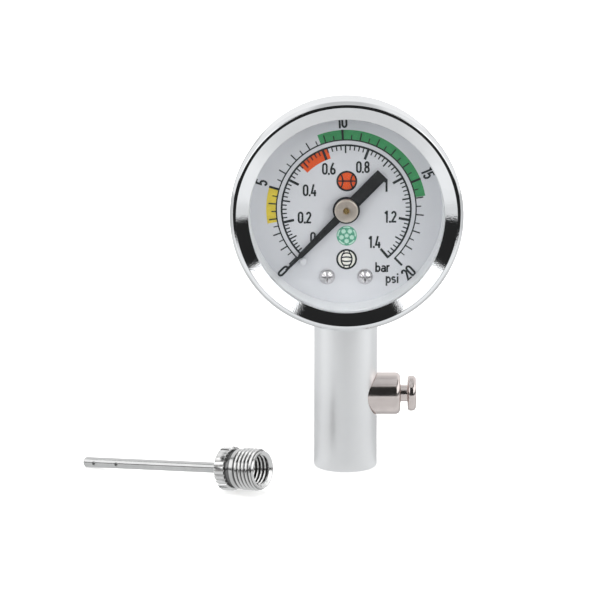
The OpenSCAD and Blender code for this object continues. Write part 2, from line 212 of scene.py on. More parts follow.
def ribbon(shape, line, width, z0, z1, closed=False):
    """Adds a thin solid along a 2-D line, with mitred corners."""
    points = [Vector(p) for p in line]
    count = len(points)
    left, right = [], []
    for i, p in enumerate(points):
        before = points[i - 1] if (closed or i > 0) else None
        after = points[(i + 1) % count] if (closed or i < count - 1) else None
        a = (p - before).normalized() if before is not None else None
        b = (after - p).normalized() if after is not None else None
        a = a if a is not None else b
        b = b if b is not None else a
        middle = (a + b).normalized()
        side = Vector((-middle.y, middle.x))
        reach = width / 2 / max(0.35, side.dot(Vector((-a.y, a.x))))
        left.append(p + side * reach)
        right.append(p - side * reach)
    verts = []
    for l, r in zip(left, right):
        verts += [(l.x, l.y, z0), (r.x, r.y, z0), (r.x, r.y, z1), (l.x, l.y, z1)]
    faces = []
    for i in range(count if closed else count - 1):
        p, q = 4 * i, 4 * ((i + 1) % count)
        faces += [(p + k, p + (k + 1) % 4, q + (k + 1) % 4, q + k) for k in range(4)]
    if not closed:
        last = 4 * (count - 1)
        faces += [(3, 2, 1, 0), (last, last + 1, last + 2, last + 3)]
    shape.add(verts, faces)


def band(shape, r0, r1, start, end, z0, z1):
    """Adds a flat ring sector between two radii and two angles in degrees."""
    steps = max(2, int(abs(end - start) / 1.5))
    line = [polar((r0 + r1) / 2, start + (end - start) * i / steps) for i in range(steps + 1)]
    ribbon(shape, line, r1 - r0, z0, z1)


def polar(r, degrees):
    """A point at this radius and angle."""
    a = math.radians(degrees)
    return (r * math.cos(a), r * math.sin(a))


def arc(cx, cy, rx, ry, start, end, steps=10):
    """Points on an ellipse between two angles in degrees."""
    turns = (polar(1, start + (end - start) * i / steps) for i in range(steps + 1))
    return [(cx + rx * c, cy + ry * s) for c, s in turns]


def piece(name, shape, place, body, look, nodes=(), sharp=35.0, weld=0.0004):
    """Makes the object of a shape, smooth between sharp edges, and gives it to a body."""
    mesh = bpy.data.meshes.new(name)
    verts = [Vector((x * MM, y * MM, z * MM)) for x, y, z in shape.verts]
    mesh.from_pydata(verts, [], shape.faces)
    work = bmesh.new()
    work.from_mesh(mesh)
    bmesh.ops.remove_doubles(work, verts=work.verts, dist=weld * MM)
    bmesh.ops.recalc_face_normals(work, faces=work.faces)
    work.to_mesh(mesh)
    work.free()
    mesh.shade_smooth()
    mesh.set_sharp_from_angle(angle=math.radians(sharp))
    mesh.materials.append(looks[look])
    obj = bpy.data.objects.new(name, mesh)
    bpy.context.scene.collection.objects.link(obj)
    obj.matrix_world = place
    weighted = obj.modifiers.new("weighted_normals", "WEIGHTED_NORMAL")
    weighted.keep_sharp = True
    weighted.weight = 100
    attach(obj, body)
    if nodes:
        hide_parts(*nodes)


# ---------------------------------------------------------------- materials


class Graph:
    """Short ways to add and join shader nodes."""

    def __init__(self, tree):
        self.tree = tree
        tree.nodes.clear()

    def node(self, kind, **values):
        n = self.tree.nodes.new(kind)
        for key, value in values.items():
            setattr(n, key, value)
        return n

    def join(self, a, b):
        self.tree.links.new(a, b)

    def put(self, socket, value):
        """Sets a socket to a number, a tuple or another node's output."""
        if isinstance(value, bpy.types.NodeSocket):
            self.join(value, socket)
        else:
            socket.default_value = value

    def math(self, operation, a, b=0.0, c=0.0):
        n = self.node("ShaderNodeMath", operation=operation)
        for socket, value in zip(n.inputs, (a, b, c)):
            self.put(socket, value)
        return n.outputs[0]

    def times(self, a, b):
        return self.math("MULTIPLY", a, b)

    def distance(self, x, y):
        """How far a point is from the Z axis."""
        return self.math("SQRT", self.math("ADD", self.times(x, x), self.times(y, y)))

    def ramp(self, value, low, high, to_low=0.0, to_high=1.0):
        """Maps a value smoothly from one range to another, clamped."""
        n = self.node("ShaderNodeMapRange", clamp=True, interpolation_type="SMOOTHSTEP")
        for socket, v in zip(n.inputs, (value, low, high, to_low, to_high)):
            self.put(socket, v)
        return n.outputs[0]

    def mix(self, factor, a, b):
        """A colour between two colours."""
        n = self.node("ShaderNodeMix", data_type="RGBA")
        self.put(n.inputs[0], factor)
        self.put(n.inputs[6], a)
        self.put(n.inputs[7], b)
        return n.outputs[2]

    def by_ray(self, kind, other, chosen):
        """One shader for rays of this kind and another for all the rest."""
        ray = self.node("ShaderNodeLightPath")
        both = self.node("ShaderNodeMixShader")
        self.join(ray.outputs[kind], both.inputs[0])
        self.join(other.outputs[0], both.inputs[1])
        self.join(chosen.outputs[0], both.inputs[2])
        return both.outputs[0]

    def noise(self, vector, scale):
        n = self.node("ShaderNodeTexNoise")
        self.join(vector, n.inputs["Vector"])
        n.inputs["Scale"].default_value = scale
        n.inputs["Detail"].default_value = 3.0
        return n.outputs["Fac"]


def shaded(colour, factor):
    """A colour made lighter or darker, as RGBA."""
    return tuple(min(1.0, c * factor) for c in colour[:3]) + (1.0,)


def finish(
    name,
    colour,
    rough,
    metallic=0.0,
    grain="even",
    grain_scale=9000.0,
    stretch=14.0,
    smudge_scale=260.0,
    colour_spread=0.04,
    rough_spread=0.05,
    bump=0.15,
    bump_depth=0.004,
    root_shade=(),
    **sockets,
):
    """A material whose colour and roughness vary in soft patches, with a fine grain in its bump.

    "even" grain is a fine mottle, "turned" grain runs round the piece's own Z axis and "drawn"
    grain runs along it. bump_depth is in millimetres. Each ring of painted shade darkens the deeper
    radii of grooves, threads and bores towards a dark copy of the colour, in millimetres about the
    Z axis: (bright radius, dark radius, smallest and largest radius, end along the axis).
    """
    material = bpy.data.materials.new(name)
    material.use_nodes = True
    g = Graph(material.node_tree)
    out = g.node("ShaderNodeOutputMaterial")
    shader = g.node("ShaderNodeBsdfPrincipled")
    g.join(shader.outputs[0], out.inputs[0])
    coords = g.node("ShaderNodeTexCoord").outputs["Object"]
    split = g.node("ShaderNodeSeparateXYZ")
    g.join(coords, split.inputs[0])
    x, y, z = split.outputs
    line = g.node("ShaderNodeCombineXYZ")
    from_axis = g.distance(x, y)
    if grain == "turned":
        profile = g.math("MULTIPLY_ADD", from_axis, 1.7, z)
        parts = (x, y, g.times(profile, stretch))
    elif grain == "drawn":
        parts = (g.times(x, stretch), g.times(y, stretch), z)
    else:
        parts = (x, y, z)
    for socket, value in zip(line.inputs, parts):
        g.join(value, socket)
    smudge = g.noise(coords, smudge_scale)
    fine_scale = grain_scale if grain == "even" else grain_scale / stretch
    fine = g.noise(line.outputs[0], fine_scale)
    dark = tuple(c * (1 - colour_spread) for c in colour)
    light = tuple(c * (1 + colour_spread) for c in colour)
    patch = g.ramp(smudge, 0.3, 0.7)
    paint = g.mix(patch, shaded(dark, 1), shaded(light, 1))
    # Painted shade: towards each ring's dark radius, the colour is mixed into a dark copy of itself
    for bright_r, dark_r, lowest, highest, end in root_shade:
        painted_shade = g.ramp(from_axis, bright_r * MM, dark_r * MM)
        painted_shade = g.times(painted_shade, g.math("GREATER_THAN", from_axis, lowest * MM))
        painted_shade = g.times(painted_shade, g.math("LESS_THAN", from_axis, highest * MM))
        painted_shade = g.times(painted_shade, g.math("LESS_THAN", z, end * MM))
        paint = g.mix(painted_shade, paint, shaded(dark, 0.26))
    g.join(paint, shader.inputs["Base Color"])
    soft = g.ramp(smudge, 0.3, 0.7, max(0.01, rough - rough_spread), rough)
    g.join(g.math("MULTIPLY_ADD", fine, rough_spread, soft), shader.inputs["Roughness"])
    shader.inputs["Metallic"].default_value = metallic
    relief = g.node("ShaderNodeBump")
    relief.inputs["Strength"].default_value = bump
    relief.inputs["Distance"].default_value = bump_depth * MM
    g.join(fine, relief.inputs["Height"])
    g.join(relief.outputs[0], shader.inputs["Normal"])
    for key, value in sockets.items():
        shader.inputs[key.replace("_", " ")].default_value = value
    return material


def lens_material(name):
    """Clear plastic that lets lamps through to the dial, with faint haze."""
    material = finish(
        name,
        (0.985, 0.992, 1.0), 0.03,
        grain_scale=700.0,
        colour_spread=0.004,
        rough_spread=0.015,
        bump=0.02,
        bump_depth=0.002,
        IOR=1.46,
        Transmission_Weight=1.0,
    )
    tree = material.node_tree
    shader = next(n for n in tree.nodes if n.type == "BSDF_PRINCIPLED")
    out = next(n for n in tree.nodes if n.type == "OUTPUT_MATERIAL")
    ray = tree.nodes.new("ShaderNodeLightPath")
    clear = tree.nodes.new("ShaderNodeBsdfTransparent")
    both = tree.nodes.new("ShaderNodeMixShader")
    tree.links.new(ray.outputs["Is Shadow Ray"], both.inputs[0])
    tree.links.new(shader.outputs[0], both.inputs[1])
    tree.links.new(clear.outputs[0], both.inputs[2])
    tree.links.new(both.outputs[0], out.inputs[0])
    return material


CHROME = (0.87, 0.875, 0.885)
NICKEL = (0.76, 0.685, 0.66)
# Each look: colour, then roughness, metallic, grain, grain scale, stretch, smudge scale,
# colour spread, roughness spread, bump and bump depth
LOOKS = {
    "chrome_bright": (CHROME, 0.03, 1.0, "even", 4200.0, 1.0, 300.0, 0.02, 0.02, 0.5, 0.011),
    "chrome_case": (CHROME, 0.09, 1.0, "turned", 14000.0, 12.0, 200.0, 0.02, 0.03, 0.10, 0.002),
    "chrome_satin": (
        (0.95, 0.955, 0.96), 0.34, 1.0, "turned", 20000.0, 16.0, 180.0, 0.02, 0.05, 0.12, 0.003,
    ),
    "steel_shaft": (
        (0.62, 0.62, 0.615), 0.13, 1.0, "drawn", 16000.0, 10.0, 500.0, 0.04, 0.05, 0.10, 0.003,
    ),
    "nickel_turned": (NICKEL, 0.19, 1.0, "turned", 16000.0, 12.0, 400.0, 0.04, 0.04, 0.12, 0.003),
    "hub_metal": (
        (0.72, 0.64, 0.56), 0.34, 1.0, "turned", 20000.0, 10.0, 900.0, 0.08, 0.06, 0.15, 0.004,
    ),
    "screw_steel": (
        (0.74, 0.72, 0.73), 0.16, 1.0, "even", 12000.0, 1.0, 900.0, 0.06, 0.05, 0.12, 0.004,
    ),
    "dial_white": (
        (0.70, 0.71, 0.74), 0.42, 0.0, "even", 15000.0, 1.0, 120.0, 0.012, 0.04, 0.05, 0.002,
    ),
    "ring_white": (
        (0.86, 0.875, 0.89), 0.45, 0.0, "even", 12000.0, 1.0, 200.0, 0.015, 0.05, 0.06, 0.003,
    ),
    "hand_black": (
        (0.012, 0.013, 0.014), 0.38, 0.0, "even", 14000.0, 1.0, 300.0, 0.15, 0.08, 0.12, 0.003,
    ),
    "ink_black": (
        (0.018, 0.022, 0.024), 0.5, 0.0, "even", 16000.0, 1.0, 500.0, 0.12, 0.06, 0.05, 0.002,
    ),
    "brass": ((0.62, 0.44, 0.19), 0.28, 1.0, "even", 9000.0, 1.0, 300.0, 0.08, 0.08, 0.2, 0.005),
    "steel": ((0.52, 0.53, 0.55), 0.3, 1.0, "even", 9000.0, 1.0, 300.0, 0.06, 0.08, 0.2, 0.005),
    "spring_steel": (
        (0.42, 0.43, 0.45), 0.32, 1.0, "drawn", 9000.0, 4.0, 300.0, 0.08, 0.08, 0.2, 0.004,
    ),
    "spring_bronze": (
        (0.55, 0.33, 0.16), 0.3, 1.0, "even", 9000.0, 1.0, 300.0, 0.08, 0.08, 0.2, 0.004,
    ),
    "rubber_black": (
        (0.025, 0.025, 0.027), 0.78, 0.0, "even", 7000.0, 1.0, 300.0, 0.2, 0.08, 0.4, 0.01,
    ),
    "fibre_washer": (
        (0.66, 0.60, 0.50), 0.8, 0.0, "even", 5000.0, 1.0, 500.0, 0.12, 0.08, 0.5, 0.02,
    ),
}
INK = (0.5, 0.0, "even", 14000.0, 1.0, 700.0, 0.05, 0.06, 0.05, 0.002)
INK_COLOURS = {
    "ink_green": (0.055, 0.30, 0.115),
    "ink_yellow": (0.79, 0.62, 0.07),
    "ink_orange": (0.78, 0.10, 0.018),
    "ink_mint": (0.52, 0.78, 0.66),
    "ink_mint_dark": (0.11, 0.38, 0.25),
    "ink_cream": (0.88, 0.87, 0.80),
}
looks = {name: finish(name, *values) for name, values in LOOKS.items()}
looks.update({name: finish(name, colour, *INK) for name, colour in INK_COLOURS.items()})
looks["lens_clear"] = lens_material("lens_clear")

# CAD nodes inside the case and the barrel that aren't brass
CAD_LOOKS = {
    "valve_spring": "spring_steel",
    "hairspring": "spring_bronze",
    "needle_seal": "rubber_black",
    "poppet_seal": "rubber_black",
    "stem_washer": "fibre_washer",
    "sector_arbor": "steel",
    "link_pin": "steel",
    "movement_screws": "steel",
}
for node_name, node_object in frame["nodes"].items():
    for material_slot in node_object.material_slots:
        material_slot.material = looks[CAD_LOOKS.get(node_name, "brass")]

# ---------------------------------------------------------------- gauge head

LIP_R = 18.2
LIP_FRONT = BEZEL_FRONT - 1.2
CASE_WALL = 0.6
SPACER_IN_R = 18.0
EDGE = 1.2
CREST_R = BEZEL_R - EDGE

bezel = lathe(
    [
        (CASE_R + 0.02, BEZEL_REAR, 0.1),
        (BEZEL_R, BEZEL_REAR, 0.25),
        (BEZEL_R, BEZEL_FRONT - EDGE, 0.9),
        (BEZEL_R - 0.55, BEZEL_FRONT - 0.07, 0.25),
        (CREST_R + 0.05, BEZEL_FRONT, 0.15),
        (LIP_R, LIP_FRONT + 0.12, 0.12),
        (LIP_R, LENS_FRONT, 0.05),
        (CASE_R - 0.1, LENS_FRONT, 0.0),
    ],
    around=288,
    steps=12,
)
piece(
    "bezel_ring_polished", bezel, GAUGE, "gauge", "chrome_bright", ["bezel_ring"]
)

CASE_ROUND = 7.5
FLAT_R = CASE_R - CASE_ROUND


def case_corner(radius, start, end, steps=24):
    """Points along the case's round rear corner, from one angle in degrees to another."""
    turns = (math.radians(start + (end - start) * i / steps) for i in range(steps + 1))
    return [(FLAT_R + radius * math.cos(t), -radius * math.sin(t)) for t in turns]


PRESSED_DEPTH = 0.3
case_profile = [(0.0, CASE_REAR + PRESSED_DEPTH), (FLAT_R - 1.5, CASE_REAR + PRESSED_DEPTH)]
case_profile += [(FLAT_R - 1.2, CASE_REAR + 0.22), (FLAT_R - 0.9, CASE_REAR + 0.08)]
case_profile += [(FLAT_R - 0.6, CASE_REAR)]
case_profile += case_corner(CASE_ROUND, 90, 0)
case_profile += [(CASE_R, CASE_FRONT - 0.1), (CASE_R - 0.1, CASE_FRONT)]
case_profile += [(CASE_R - CASE_WALL + 0.1, CASE_FRONT), (CASE_R - CASE_WALL, CASE_FRONT - 0.1)]
case_profile += case_corner(CASE_ROUND - CASE_WALL, 0, 90)
case_profile += [(0.0, CASE_REAR + CASE_WALL)]
case = Shape()
spin(case, case_profile, 256, False)
piece("case_cup_drawn", case, GAUGE, "gauge", "chrome_case", ["case_cup"])

lens = lathe(
    [
        (0.0, LENS_REAR, 0.0),
        (CASE_R - 0.1, LENS_REAR, 0.15),
        (CASE_R - 0.1, LENS_FRONT, 0.15),
        (0.0, LENS_FRONT, 0.0),
    ],
    closed=False,
)
piece("lens_clear", lens, GAUGE, "gauge", "lens_clear", ["lens"])

spacer = lathe(
    [
        (SPACER_R, DIAL_FRONT, 0.1),
        (SPACER_R, LENS_REAR, 0.2),
        (SPACER_IN_R, LENS_REAR, 0.25),
        (SPACER_IN_R, DIAL_FRONT, 0.15),
    ]
)
piece("spacer_ring_white", spacer, GAUGE, "gauge", "ring_white", ["spacer_ring"])

dial = lathe(
    [
        (DIAL_R, DIAL_REAR, 0.08),
        (DIAL_R, DIAL_FRONT, 0.08),
        (1.2, DIAL_FRONT, 0.08),
        (1.2, DIAL_REAR, 0.08),
    ]
)
piece("dial_plate_white", dial, GAUGE, "gauge", "dial_white", ["dial_plate"])

# ---------------------------------------------------------------- dial print

INK_BACK = DIAL_FRONT - 0.01
INK_BAND = DIAL_FRONT + 0.012
INK_LINE = DIAL_FRONT + 0.024
INK_TOP = DIAL_FRONT + 0.036
OUTER_ARC_R = 13.1
INNER_ARC_R = 12.1
PSI_ANGLES = [(0, 225.0), (5, 163.6), (10, 92.9), (15, 22.6), (20, -45.7)]
BAR_ANGLES = [(0.0, 225.0), (0.2, 192.2), (0.4, 152.7), (0.6, 111.6)]
BAR_ANGLES += [(0.8, 69.9), (1.0, 29.2), (1.2, -10.1), (1.4, -49.6)]


def scale_angle(table, value):
    """The dial angle of a scale value, between its numbered marks."""
    values, angles = zip(*table)
    return float(np.interp(value, values, angles))


def loop(cx, cy, rx, ry, steps=16):
    """The points of a whole ellipse."""
    return arc(cx, cy, rx, ry, 0, 360, steps)[:-1]


# Each character: its width, its open lines and its closed ones, in units of the figure's height
GLYPHS = {
    "0": (0.58, [], [arc(0, 0.71, 0.2, 0.2, 0, 180) + arc(0, 0.29, 0.2, 0.2, 180, 360)]),
    "1": (0.44, [[(0.05, 0.0), (0.05, 1.0)], [(0.05, 0.95), (-0.16, 0.76)]], []),
    "2": (0.58, [arc(0, 0.71, 0.19, 0.2, 172, -28) + [(-0.2, 0.09), (0.26, 0.09)]], []),
    "4": (0.58, [[(0.0, 1.0), (-0.21, 0.27), (0.27, 0.27)], [(0.12, 0.52), (0.12, 0.0)]], []),
    "5": (
        0.58,
        [[(0.22, 0.91), (-0.16, 0.91), (-0.18, 0.5)] + arc(0, 0.325, 0.2, 0.235, 128, -152)],
        [],
    ),
    "6": (
        0.58,
        [[(-0.2, 0.32), (-0.185, 0.48), (-0.11, 0.7), (0.05, 1.0)]],
        [loop(0, 0.3, 0.2, 0.21, 18)],
    ),
    "8": (0.58, [], [loop(0, 0.715, 0.175, 0.195), loop(0, 0.295, 0.2, 0.21)]),
    ".": (0.26, [[(0.0, 0.0), (0.0, 0.17)]], []),
    "b": (0.56, [[(-0.18, 0.0), (-0.18, 1.0)]], [loop(0, 0.34, 0.18, 0.26)]),
    "a": (
        0.55,
        [[(0.17, 0.0), (0.17, 0.42)] + arc(0, 0.45, 0.17, 0.16, 0, 150, 8)],
        [loop(-0.01, 0.22, 0.18, 0.15)],
    ),
    "r": (0.42, [[(-0.12, 0.0), (-0.12, 0.7)], arc(0.06, 0.4, 0.18, 0.23, 180, 70, 6)], []),
    "p": (0.56, [[(-0.18, -0.28), (-0.18, 0.7)]], [loop(0, 0.34, 0.18, 0.26)]),
    "s": (
        0.5,
        [arc(0, 0.475, 0.16, 0.135, 30, 250, 8) + arc(0, 0.205, 0.165, 0.135, 70, -150, 8)],
        [],
    ),
    "i": (0.28, [[(0.0, 0.0), (0.0, 0.68)], [(0.0, 0.82), (0.0, 0.98)]], []),
}


def write(shape, text, x, y, height, turn, weight=0.2, tall=1.28):
    """Adds figures made of strokes, centred on a point and turned by an angle in degrees."""
    widths = [GLYPHS[c][0] for c in text]
    pen = -sum(widths) / 2
    c, s = polar(1, turn)
    for character in text:
        width, open_lines, closed_lines = GLYPHS[character]
        for line in open_lines + closed_lines:
            points = []
            for px, py in line:
                u = (pen + width / 2 + px) * height
                v = (py - 0.5) * height * tall
                points.append((x + u * c - v * s, y + u * s + v * c))
            ribbon(shape, points, weight * height, INK_BACK, INK_LINE, line in closed_lines)
        pen += width


black_print = Shape()
for radius, width, table, top in (
    (OUTER_ARC_R, 0.25, PSI_ANGLES, 20),
    (INNER_ARC_R, 0.36, BAR_ANGLES, 1.4),
):
    start, end = scale_angle(table, 0), scale_angle(table, top)
    band(black_print, radius - width / 2, radius + width / 2, start, end, INK_BACK, INK_LINE)


def tick(angle, r0, r1, width):
    """One printed scale mark between two radii."""
    ribbon(black_print, [polar(r0, angle), polar(r1, angle)], width, INK_BACK, INK_TOP)


for i in range(41):
    value = i / 2
    angle = scale_angle(PSI_ANGLES, value)
    if i % 10 == 0:
        tick(angle, OUTER_ARC_R - 0.1, OUTER_ARC_R + 1.95, 0.42)
    elif i % 2 == 0:
        tick(angle, OUTER_ARC_R, OUTER_ARC_R + 1.5, 0.25)
    else:
        tick(angle, OUTER_ARC_R, OUTER_ARC_R + 0.95, 0.21)
for i in range(71):
    value = i / 50
    angle = scale_angle(BAR_ANGLES, value)
    if i % 10 == 0:
        tick(angle, INNER_ARC_R + 0.15, INNER_ARC_R - 2.1, 0.48)
    elif i % 5 == 0:
        tick(angle, INNER_ARC_R, INNER_ARC_R - 1.5, 0.29)
    else:
        tick(angle, INNER_ARC_R, INNER_ARC_R - 0.95, 0.24)

FIGURES = [
    ("0.2", -7.8, -1.64, 1.8, 0),
    ("0.4", -6.85, 3.55, 1.8, 0),
    ("0.6", -3.26, 7.62, 1.8, 0),
    ("0.8", 3.1, 7.95, 1.8, 0),
    ("1", 7.44, 4.46, 1.9, 0),
    ("1.2", 8.3, -1.49, 1.8, 0),
    ("1.4", 5.33, -6.32, 1.8, 0),
    ("0", -6.23, -5.5, 1.8, 0),
    ("0", -11.81, -11.88, 2.0, -45),
    ("5", -15.88, 5.04, 1.9, 73.6),
    ("10", -0.82, 16.52, 1.9, 2.9),
    ("15", 15.31, 6.8, 1.85, -67.4),
    ("20", 11.72, -12.2, 1.95, 43),
    ("bar", 6.9, -11.12, 1.9, 0),
    ("psi", 8.69, -13.24, 1.9, 0),
]
for text, x, y, height, turn in FIGURES:
    if text.isalpha():
        write(black_print, text, x, y, height, turn, 0.17, 1.0)
    else:
        write(black_print, text, x, y, height, turn)

ICON_R = 1.9
ICON_X = 0.1
BASKETBALL_Y = 5.3
FOOTBALL_Y = -5.1
VOLLEYBALL_Y = -9.6


def disc(shape, x, y, r, z0, z1, sides=48):
    """Adds a flat round disc."""
    rim = [polar(r, 360 * i / sides) for i in range(sides)]
    prism(shape, [(x + px, y + py) for px, py in rim], z0, z1)


def icon_line(shape, line, y, width, closed=False):
    """Adds one line of an icon, drawn about the icon's centre."""
    ribbon(shape, [(ICON_X + px, y + py) for px, py in line], width, INK_BACK, INK_LINE, closed)


for y in (BASKETBALL_Y, VOLLEYBALL_Y):
    icon_line(black_print, loop(0, 0, ICON_R - 0.12, ICON_R - 0.12, 48), y, 0.36, True)
icon_line(black_print, [(-ICON_R + 0.2, 0.0), (ICON_R - 0.2, 0.0)], BASKETBALL_Y, 0.28)
icon_line(black_print, arc(-2.0, 0, 1.25, 1.7, -55, 55, 12), BASKETBALL_Y, 0.28)
icon_line(black_print, arc(2.0, 0, 1.25, 1.7, 125, 235, 12), BASKETBALL_Y, 0.28)
for side in (-1, 1):
    line = [(side * px, py) for px, py in arc(-0.35, 0, 1.35, 1.6, -52, 52, 12)]
    icon_line(black_print, line, VOLLEYBALL_Y, 0.27)
for height, bow in ((0.95, 0.25), (0.32, 0.1), (-0.32, -0.1), (-0.95, -0.25)):
    line = [(-0.85 + 1.7 * i / 8, height + bow * math.sin(math.pi * i / 8)) for i in range(9)]
    icon_line(black_print, line, VOLLEYBALL_Y, 0.26)
for px in (-0.5, 0.5):
    for side in (-1, 1):
        icon_line(black_print, [(px, side * 1.3), (px * 0.9, side * 1.72)], VOLLEYBALL_Y, 0.24)

green_print, yellow_print, orange_print = Shape(), Shape(), Shape()
band(green_print, OUTER_ARC_R, OUTER_ARC_R + 1.9, 111.3, 9.7, INK_BACK, INK_BAND)
band(yellow_print, OUTER_ARC_R, OUTER_ARC_R + 1.9, 190.8, 163.4, INK_BACK, INK_BAND)
band(orange_print, INNER_ARC_R - 2.1, INNER_ARC_R, 136.5, 107.0, INK_BACK, INK_BAND)
disc(orange_print, ICON_X, BASKETBALL_Y, ICON_R - 0.1, INK_BACK, INK_BAND)

mint_print, mint_dark_print, cream_print = Shape(), Shape(), Shape()
disc(mint_dark_print, ICON_X, FOOTBALL_Y, ICON_R, INK_BACK, INK_BAND)
disc(cream_print, ICON_X, VOLLEYBALL_Y, ICON_R - 0.1, INK_BACK, INK_BAND)


def patch(r, distance, toward, sides, turn):
    """Adds one pale panel of the football icon."""
    cx, cy = polar(distance, toward)
    outline = [polar(r, turn + 360 * i / sides) for i in range(sides)]
    outline = [(ICON_X + cx + px, FOOTBALL_Y + cy + py) for px, py in outline]
    prism(mint_print, outline, INK_BACK, INK_LINE)


patch(0.42, 0.0, 0, 5, 90)
for i in range(5):
    patch(0.46, 1.02, 90 + 36 + 72 * i, 6, 36 + 72 * i + 30)
    rim = arc(0, 0, ICON_R - 0.26, ICON_R - 0.26, 72 * i + 90 - 22, 72 * i + 90 + 22, 6)
    icon_line(mint_print, rim, FOOTBALL_Y, 0.26)

for name, shape, look in (
    ("dial_print_black", black_print, "ink_black"),
    ("dial_print_green", green_print, "ink_green"),
    ("dial_print_yellow", yellow_print, "ink_yellow"),
    ("dial_print_orange", orange_print, "ink_orange"),
    ("dial_print_mint", mint_print, "ink_mint"),
    ("dial_print_dark_mint", mint_dark_print, "ink_mint_dark"),
    ("dial_print_cream", cream_print, "ink_cream"),
):
    piece(name, shape, GAUGE, "gauge", look, weld=0.0)

# ---------------------------------------------------------------- dial screws and stop pin


SCREW_R = 1.5
SCREW_TOP = DIAL_FRONT + 1.0
SHANK_R = 0.7
SLOT_R = 1.0
SLOT_HALF = 0.22
SLOT_DEPTH = 0.5


def screw(shape, cx, cy, around=96):
    """Adds a domed screw head with a cross recess, on a short shank."""
    rings = [(SHANK_R, DIAL_FRONT - 0.3), (SHANK_R, DIAL_FRONT), (SCREW_R - 0.05, DIAL_FRONT)]
    rings += [(SCREW_R - 0.02 * k * k, DIAL_FRONT + 0.1 + 0.13 * k) for k in range(5)]
    rings.append((1.1, SCREW_TOP - 0.25))
    floor_z = SCREW_TOP - SLOT_DEPTH
    verts, faces = [], []
    angles = [TAU * j / around for j in range(around)]
    for r, z in rings:
        verts += [(cx + r * math.cos(a), cy + r * math.sin(a), z) for a in angles]
    for edge_z, scale in ((SCREW_TOP - 0.12, 1.0), (floor_z, 0.86), (floor_z - 0.12, 0.0)):
        for a in angles:
            fold = abs((a + math.pi / 4) % (math.pi / 2) - math.pi / 4)
            reach = min(SLOT_R, SLOT_HALF / max(1e-6, math.sin(fold)))
            reach = max(reach, SLOT_HALF * 1.5) * scale
            verts.append((cx + reach * math.cos(a), cy + reach * math.sin(a), edge_z))
    for i in range(len(rings) + 2):
        for j in range(around):
            n = (j + 1) % around
            p, q = i * around, (i + 1) * around
            faces.append((p + j, p + n, q + n, q + j))
    faces.append(tuple(range(around - 1, -1, -1)))
    shape.add(verts, faces)


screws = Shape()
screw_low, screw_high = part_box("dial_screws")
SCREW_X = half_width("dial_screws") - SCREW_R
SCREW_Y = ((screw_low.z + screw_high.z) / 2 - DIAL_Z) / MM
for x in (-SCREW_X, SCREW_X):
    screw(screws, x, SCREW_Y)
piece(
    "dial_screws_crossed", screws, GAUGE, "gauge", "screw_steel", ["dial_screws"], sharp=28
)

pin_low, pin_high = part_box("stop_pin")
pin_centre = (pin_low + pin_high) / 2
pin = lathe(
    [
        (0.0, DIAL_REAR, 0.0),
        (0.4, DIAL_REAR, 0.0),
        (0.4, DIAL_FRONT, 0.05),
        (0.7, DIAL_FRONT, 0.05),
        (0.7, DIAL_FRONT + 1.6, 0.25),
        (0.0, DIAL_FRONT + 1.6, 0.0),
    ],
    around=48,
    closed=False,
)
PIN = GAUGE @ Matrix.Translation((pin_centre.x, pin_centre.z - DIAL_Z, 0))
piece("stop_pin_white", pin, PIN, "gauge", "dial_white", ["stop_pin"])

# ---------------------------------------------------------------- pointer

ZERO_ANGLE = 225.5
DISC_R = 2.55
disc_low = math.degrees(math.asin(1.18 / DISC_R))
disc_high = math.degrees(math.asin(0.74 / DISC_R))
half_hand = [(-9.55, -1.18)]
half_hand += [polar(DISC_R, a) for a in np.linspace(180 + disc_low, 360 - disc_high, 40)]
half_hand += [(12.2, -0.5), (12.6, -0.3), (16.1, -0.22)]
outline = half_hand + [(x, -y) for x, y in reversed(half_hand)]


def inset_hand(points, amount):
    """The hand's outline moved in by a small amount, for its bevelled top edge."""
    result = []
    count = len(points)
    for i in range(count):
        p = Vector(points[i])
        a = (p - Vector(points[i - 1])).normalized()
        b = (Vector(points[(i + 1) % count]) - p).normalized()
        normal = Vector((-(a + b).y, (a + b).x)).normalized()
        result.append(tuple(p + normal * amount / max(0.4, normal.dot(Vector((-a.y, a.x))))))
    return result


hand = Shape()
levels = [(outline, POINTER_REAR), (outline, POINTER_FRONT - 0.07)]
levels.append((inset_hand(outline, 0.06), POINTER_FRONT))
n = len(outline)
verts = [(x, y, z) for points, z in levels for x, y in points]
faces = [tuple(range(n - 1, -1, -1)), tuple(range(2 * n, 3 * n))]
for level in (0, n):
    for i in range(n):
        k = (i + 1) % n
        faces.append((level + i, level + k, level + n + k, level + n + i))
hand.add(verts, faces)
HAND = GAUGE @ Matrix.Rotation(math.radians(ZERO_ANGLE), 4, "Z")
piece(
    "pointer_hand", hand, HAND, "pointer", "hand_black", ["pointer"], sharp=25
)

hub = lathe(
    [
        (0.9, HUB_REAR, 0.0),
        (0.9, POINTER_FRONT, 0.0),
        (2.2, POINTER_FRONT, 0.05),
        (2.2, HUB_FRONT, 0.25),
        (0.68, HUB_FRONT, 0.06),
        (0.5, HUB_FRONT - 0.2, 0.0),
        (0.5, HUB_REAR, 0.0),
    ],
    around=128,
)
piece("pointer_hub_turned", hub, GAUGE, "pointer", "hub_metal", ["pointer_hub"])

# ---------------------------------------------------------------- barrel


